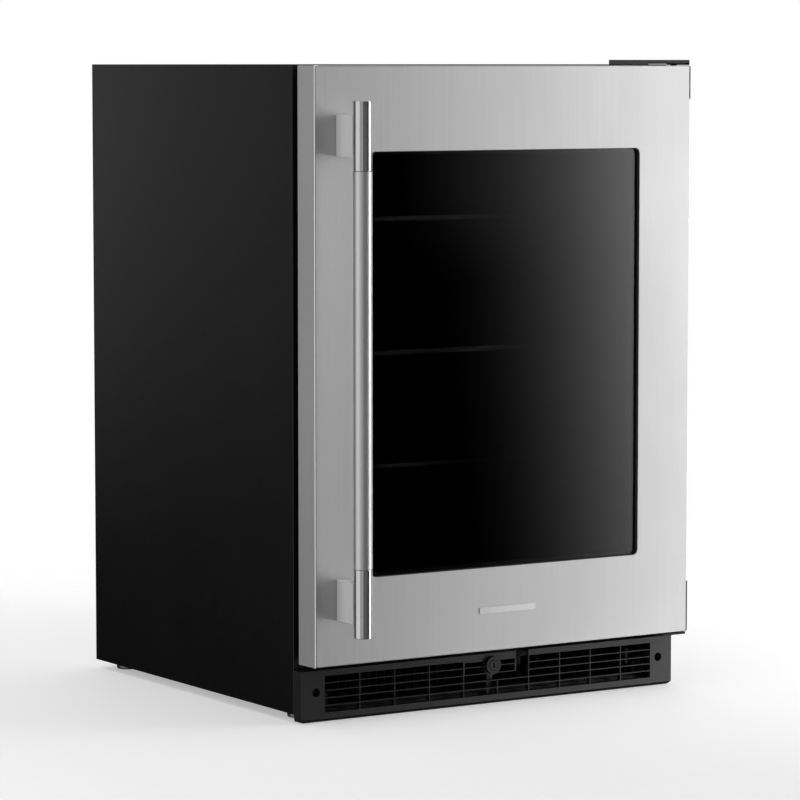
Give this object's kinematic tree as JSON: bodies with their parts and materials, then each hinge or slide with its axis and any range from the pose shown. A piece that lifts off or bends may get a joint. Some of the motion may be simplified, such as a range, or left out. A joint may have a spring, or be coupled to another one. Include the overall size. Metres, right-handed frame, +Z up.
{
  "type": "undercounter refrigerator",
  "caption": "Undercounter refrigerator with a stainless framed glass door, round bar handle, black cabinet and a louvred base grille with a lock.",
  "frame": {"origin": "on the floor, under the middle of the object's box, legs screwed right in", "axes": "+Z up, the door and its handle face -Y, +X to the right of a person facing the door"},
  "size_m": [0.606, 0.67, 0.873],
  "materials": {
    "wrapper_paint": "semi-gloss black enamel with a fine leather texture",
    "galvanised_sheet": "bare galvanised sheet, faint spangle",
    "frame_paint": "satin black powder coat",
    "foam": "rigid foam, not seen from outside",
    "liner": "dark grey moulded liner, satin",
    "black_plastic": "moulded black plastic, fine grain",
    "bezel_plastic": "satin dark grey moulded plastic",
    "shelf_glass": "clear tempered shelf glass",
    "shelf_trim": "satin aluminium",
    "coil_aluminium": "thin bare fins",
    "fan_plastic": "moulded black plastic",
    "display_lens": "smoked gloss lens",
    "button_plastic": "satin grey key",
    "lamp_lens": "frosted lens",
    "compressor_paint": "gloss black enamel on pressed steel",
    "coil_enamel": "thin black enamel on tube and fins",
    "pan_plastic": "moulded grey plastic",
    "grille_plastic": "moulded charcoal plastic, fine grain",
    "screw_steel": "zinc plated, dulled",
    "lock_black": "satin black coated zinc",
    "stainless": "fine brushed stainless, vertical grain, satin sheen",
    "tinted_glass": "dark tinted glass, polished",
    "spacer_aluminium": "dark anodised spacer bar",
    "clear_glass": "clear low-emissivity glass",
    "gasket_rubber": "soft black vinyl",
    "nameplate": "blank satin plate",
    "handle_brushed": "brushed stainless tube",
    "post_satin": "bead-blasted satin stainless posts",
    "handle_polished": "polished stainless ferrules",
    "leg_zinc": "zinc plated steel"
  },
  "bodies": {
    "cabinet": {"outer_wrapper": "wrapper_paint", "back_panel": "galvanised_sheet", "base_frame": "frame_paint", "foam_insulation": "foam", "inner_liner": "liner", "breaker_frame": "black_plastic", "rear_cover": "galvanised_sheet", "cord_gland": "black_plastic", "shelf_glass_upper": "shelf_glass", "shelf_glass_middle": "shelf_glass", "shelf_glass_lower": "shelf_glass", "shelf_trim_upper": "shelf_trim", "shelf_trim_middle": "shelf_trim", "shelf_trim_lower": "shelf_trim", "evaporator_cover": "liner", "evaporator_coil": "coil_aluminium", "evaporator_fan_motor": "black_plastic", "control_housing": "black_plastic", "display_lens": "display_lens", "lamp_lens": "lamp_lens", "compressor": "compressor_paint", "condenser_coil": "coil_enamel", "condenser_fan_shroud": "black_plastic", "drain_pan": "pan_plastic", "base_grille": "grille_plastic", "grille_screw_left": "screw_steel", "grille_screw_right": "screw_steel", "lock_plate": "grille_plastic", "lock_housing": "lock_black", "top_hinge_bracket": "frame_paint", "hinge_cover": "black_plastic", "bottom_hinge_bracket": "frame_paint"},
    "door": {"door_skin": "stainless", "door_core": "foam", "door_inner_frame": "black_plastic", "window_bezel": "bezel_plastic", "glass_outer": "tinted_glass", "glass_spacer": "spacer_aluminium", "glass_inner": "clear_glass", "door_gasket": "gasket_rubber", "door_hinge_plate_upper": "frame_paint", "door_hinge_plate_lower": "frame_paint", "lock_strike": "frame_paint", "nameplate": "nameplate", "handle_grip": "handle_brushed", "handle_ferrule_lower": "handle_polished", "handle_ferrule_upper": "handle_polished", "handle_post_lower": "post_satin", "handle_post_upper": "post_satin"},
    "evaporator_fan": {"evaporator_fan": "fan_plastic"},
    "condenser_fan": {"condenser_fan": "fan_plastic"},
    "lock": {"lock_plug": "lock_black", "lock_cam": "lock_black"},
    "leg_front_left": {"leg_front_left": "leg_zinc"},
    "leg_front_right": {"leg_front_right": "leg_zinc"},
    "leg_rear_left": {"leg_rear_left": "leg_zinc"},
    "leg_rear_right": {"leg_rear_right": "leg_zinc"},
    "button_minus": {"button_minus": "button_plastic"},
    "button_plus": {"button_plus": "button_plastic"},
    "button_power": {"button_power": "button_plastic"}
  },
  "joints": [
    {"name": "door_hinge", "type": "hinge", "parent": "cabinet", "child": "door", "pos_m": [0.287, -0.2565, 0.4735], "axis": [0, 0, 1], "range_deg": [0, 110]},
    {"name": "lock_turn", "type": "hinge", "parent": "cabinet", "child": "lock", "pos_m": [0.001, -0.23, 0.0536], "axis": [0, -1, 0], "range_deg": [0, 90]},
    {"name": "evaporator_fan_spin", "type": "hinge", "parent": "cabinet", "child": "evaporator_fan", "pos_m": [0, 0.223, 0.72], "axis": [0, -1, 0], "continuous": true},
    {"name": "condenser_fan_spin", "type": "hinge", "parent": "cabinet", "child": "condenser_fan", "pos_m": [0.052, 0.235, 0.106], "axis": [1, 0, 0], "continuous": true},
    {"name": "leg_front_left_screw", "type": "slide", "parent": "cabinet", "child": "leg_front_left", "axis": [0, 0, -1], "range_m": [0, 0.02]},
    {"name": "leg_front_right_screw", "type": "slide", "parent": "cabinet", "child": "leg_front_right", "axis": [0, 0, -1], "range_m": [0, 0.02]},
    {"name": "leg_rear_left_screw", "type": "slide", "parent": "cabinet", "child": "leg_rear_left", "axis": [0, 0, -1], "range_m": [0, 0.02]},
    {"name": "leg_rear_right_screw", "type": "slide", "parent": "cabinet", "child": "leg_rear_right", "axis": [0, 0, -1], "range_m": [0, 0.02]},
    {"name": "press_minus", "type": "slide", "parent": "cabinet", "child": "button_minus", "axis": [0, 1, 0], "range_m": [0, 0.001], "stiffness_N_per_m": 400, "springref_m": -0.0005},
    {"name": "press_plus", "type": "slide", "parent": "cabinet", "child": "button_plus", "axis": [0, 1, 0], "range_m": [0, 0.001], "stiffness_N_per_m": 400, "springref_m": -0.0005},
    {"name": "press_power", "type": "slide", "parent": "cabinet", "child": "button_power", "axis": [0, 1, 0], "range_m": [0, 0.001], "stiffness_N_per_m": 400, "springref_m": -0.0005}
  ]
}
